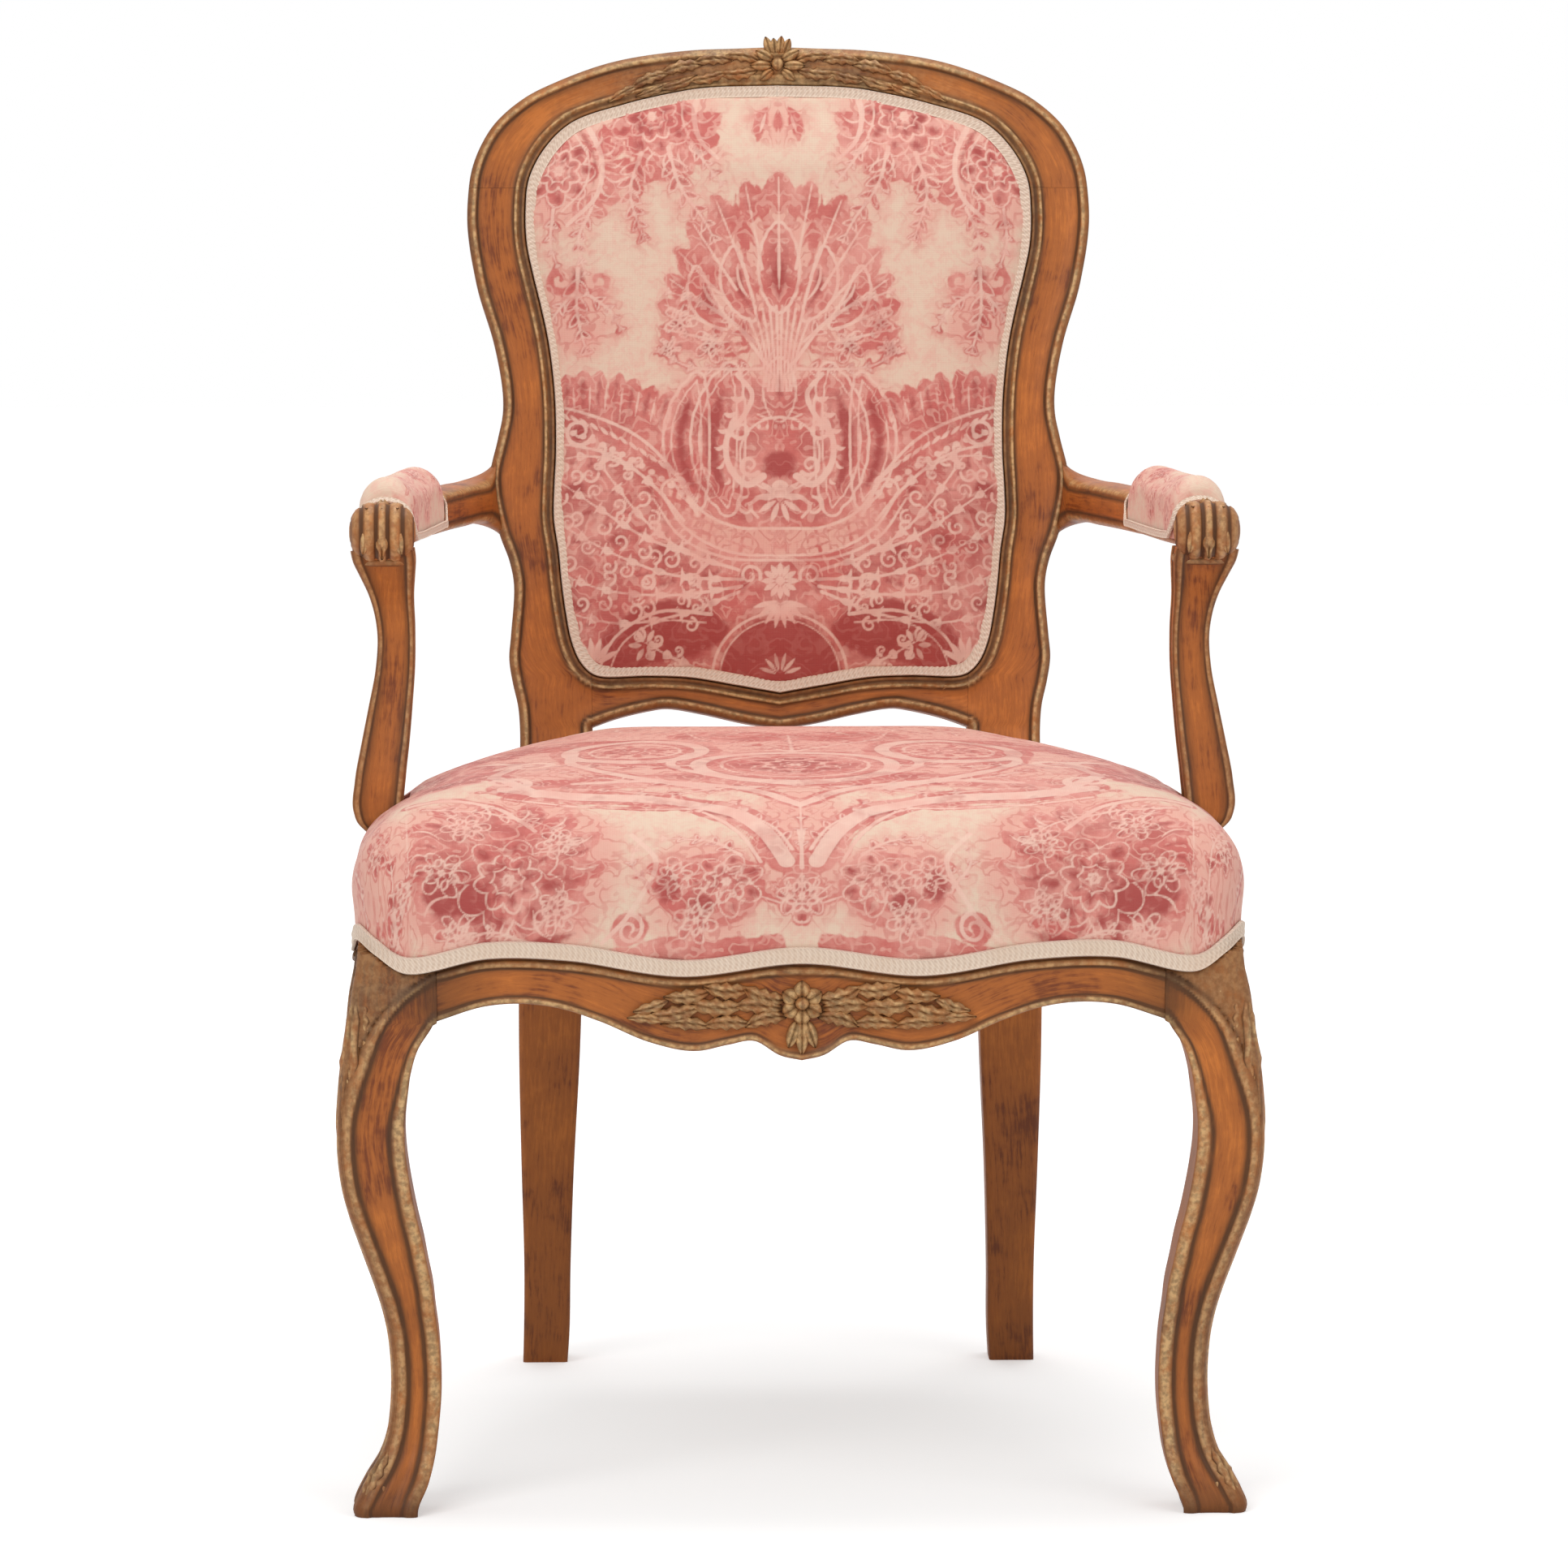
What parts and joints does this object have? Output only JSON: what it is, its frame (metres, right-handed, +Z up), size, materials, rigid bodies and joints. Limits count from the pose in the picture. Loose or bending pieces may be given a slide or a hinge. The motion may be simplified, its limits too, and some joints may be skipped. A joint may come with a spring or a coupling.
{
  "type": "upholstered open armchair",
  "caption": "Open armchair with cabriole front legs, shaped moulded frame, stuffed seat and back in damask, padded arms and braid along every cloth edge.",
  "frame": {"origin": "on the floor under the middle of the chair's bounding box", "axes": "+X to the viewer's right when facing the chair's front, +Y towards the back, +Z up; the front faces -Y"},
  "size_m": [0.617, 0.6414, 0.9749],
  "materials": {
    "carved_beech": "walnut-stained and waxed beech with worn gilding on the carving and edges",
    "stile_beech": "walnut-stained and waxed beech, plain below the seat",
    "plain_beech": "stained beech, unmoulded",
    "block_wood": "raw softwood, glued",
    "peg_wood": "riven oak",
    "damask": "cream silk damask with a rose pink foliage pattern",
    "outside_back_cloth": "rose damask, plain weave side",
    "gimp": "woven cream braid",
    "webbing": "jute webbing",
    "hessian": "open plain-weave jute cloth",
    "horsehair": "curled hair stuffing"
  },
  "bodies": {
    "root": {"back_front_cover": "damask", "back_front_gimp": "gimp", "back_hessian": "hessian", "back_rear_cover": "outside_back_cloth", "back_rear_gimp": "gimp", "back_seat_rail": "plain_beech", "back_stuffing": "horsehair", "crest_rail": "carved_beech", "front_seat_rail": "carved_beech", "left_arm": "carved_beech", "left_arm_pad_cover": "damask", "left_arm_pad_gimp": "gimp", "left_arm_pad_stuffing": "horsehair", "left_arm_support": "carved_beech", "left_back_corner_block": "block_wood", "left_back_rail_peg": "peg_wood", "left_crest_peg": "peg_wood", "left_front_corner_block": "block_wood", "left_front_leg": "carved_beech", "left_front_rail_peg": "peg_wood", "left_lower_rail_peg": "peg_wood", "left_side_rail": "carved_beech", "left_side_rail_back_peg": "peg_wood", "left_side_rail_front_peg": "peg_wood", "left_stile": "stile_beech", "lower_back_rail": "carved_beech", "right_arm": "carved_beech", "right_arm_pad_cover": "damask", "right_arm_pad_gimp": "gimp", "right_arm_pad_stuffing": "horsehair", "right_arm_support": "carved_beech", "right_back_corner_block": "block_wood", "right_back_rail_peg": "peg_wood", "right_crest_peg": "peg_wood", "right_front_corner_block": "block_wood", "right_front_leg": "carved_beech", "right_front_rail_peg": "peg_wood", "right_lower_rail_peg": "peg_wood", "right_side_rail": "carved_beech", "right_side_rail_back_peg": "peg_wood", "right_side_rail_front_peg": "peg_wood", "right_stile": "stile_beech", "seat_cover": "damask", "seat_gimp": "gimp", "seat_hessian": "hessian", "seat_rear_gimp": "gimp", "seat_stuffing": "horsehair", "seat_web_crosswise_1": "webbing", "seat_web_crosswise_2": "webbing", "seat_web_crosswise_3": "webbing", "seat_web_crosswise_4": "webbing", "seat_web_lengthwise_1": "webbing", "seat_web_lengthwise_2": "webbing", "seat_web_lengthwise_3": "webbing", "seat_web_lengthwise_4": "webbing"}
  },
  "joints": []
}
